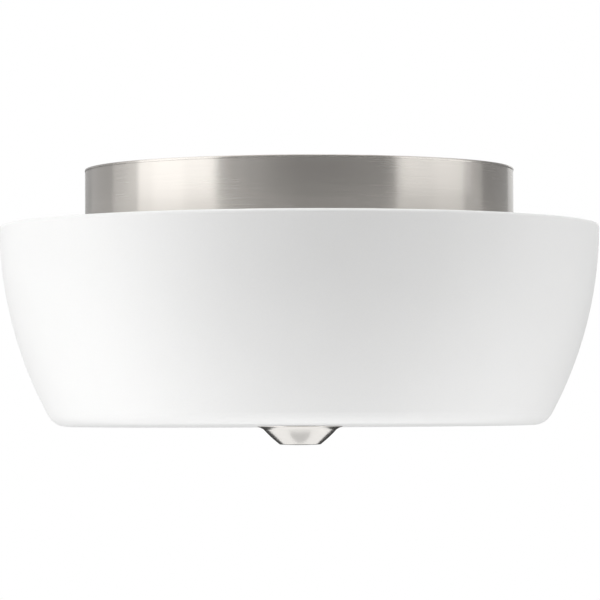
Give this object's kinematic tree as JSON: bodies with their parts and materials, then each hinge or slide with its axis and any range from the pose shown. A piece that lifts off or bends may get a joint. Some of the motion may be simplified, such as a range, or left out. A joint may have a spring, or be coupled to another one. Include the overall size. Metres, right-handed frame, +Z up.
{
  "type": "bowl ceiling light",
  "caption": "Flush ceiling light: a round brushed-metal pan, a wide open-topped white glass bowl held from below by a centre finial, and screw-base lamps in sockets inside.",
  "frame": {"origin": "on the light's axis, in the plane of the ceiling, at the centre of the strap's box slots", "axes": "+Z up into the ceiling, X along the mounting strap and the lamps"},
  "size_m": [0.314, 0.314, 0.1484],
  "materials": {
    "nickel": "brushed satin nickel plate",
    "etched_glass": "white opal glass, etched satin",
    "steel": "zinc plate",
    "green_steel": "green dyed plate",
    "fibreglass": "felted fibreglass",
    "black_rubber": "matte",
    "porcelain": "glazed porcelain",
    "brass": "drawn",
    "lamp_glass": "soft white coated",
    "lamp_cap": "rolled",
    "black_glass": "gloss",
    "solder": "dull",
    "black_lead": "extruded",
    "white_lead": "extruded",
    "green_lead": "extruded",
    "orange_plastic": "moulded",
    "green_plastic": "moulded",
    "black_nylon": "moulded"
  },
  "bodies": {
    "ceiling_bracket": {"mounting_strap": "steel", "canopy_screws": "steel", "ground_screw": "green_steel"},
    "pan": {"canopy_pan": "nickel", "insulation_pad": "fibreglass", "stem_rod": "steel", "stem_top_nut": "steel", "stem_lock_washer": "steel", "stem_lower_nut": "steel", "seat_nut": "steel", "seat_washer": "steel", "inner_gasket": "black_rubber", "socket_screws": "steel", "bracket_rivets": "steel", "lead_bushings": "black_nylon", "lead_black_a": "black_lead", "lead_white_a": "white_lead", "lead_black_b": "black_lead", "lead_white_b": "white_lead", "wire_nuts": "orange_plastic", "ground_terminal": "brass", "bond_screw": "green_steel", "bond_nut": "steel", "ground_lead": "green_lead", "ground_wire_nut": "green_plastic", "socket_a_body": "porcelain", "socket_a_shell": "brass", "socket_a_contact": "brass", "socket_a_bracket": "steel", "socket_b_body": "porcelain", "socket_b_shell": "brass", "socket_b_contact": "brass", "socket_b_bracket": "steel"},
    "bowl": {"glass_bowl": "etched_glass"},
    "finial_washer": {"outer_gasket": "black_rubber"},
    "finial": {"finial_cap": "nickel", "finial_bush": "brass"},
    "lamp_a": {"lamp_a_globe": "lamp_glass", "lamp_a_base": "lamp_cap", "lamp_a_insulator": "black_glass", "lamp_a_contact": "solder"},
    "lamp_b": {"lamp_b_globe": "lamp_glass", "lamp_b_base": "lamp_cap", "lamp_b_insulator": "black_glass", "lamp_b_contact": "solder"}
  },
  "joints": [
    {"name": "pan_twist", "type": "hinge", "parent": "ceiling_bracket", "child": "pan", "pos_m": [0, 0, 0], "axis": [0, 0, -1], "range_deg": [0, 22]},
    {"name": "bowl_lower", "type": "slide", "parent": "pan", "child": "bowl", "axis": [0, 0, -1], "range_m": [0, 0.12]},
    {"name": "finial_drop", "type": "slide", "parent": "bowl", "child": "finial_washer", "axis": [0, 0, -1], "range_m": [0, 0.00569]},
    {"name": "finial_turn", "type": "hinge", "parent": "finial_washer", "child": "finial", "pos_m": [0, 0, -0.14], "axis": [0, 0, -1], "range_deg": [0, 2160]},
    {"name": "lamp_a_out", "type": "slide", "parent": "pan", "child": "lamp_a", "axis": [1, 0, 0], "range_m": [0, 0.028]},
    {"name": "lamp_b_out", "type": "slide", "parent": "pan", "child": "lamp_b", "axis": [-1, 0, 0], "range_m": [0, 0.028]}
  ],
  "couplings": [
    {"joint": "finial_drop", "follows": "finial_turn", "m_per_rad": 0.00014972}
  ]
}
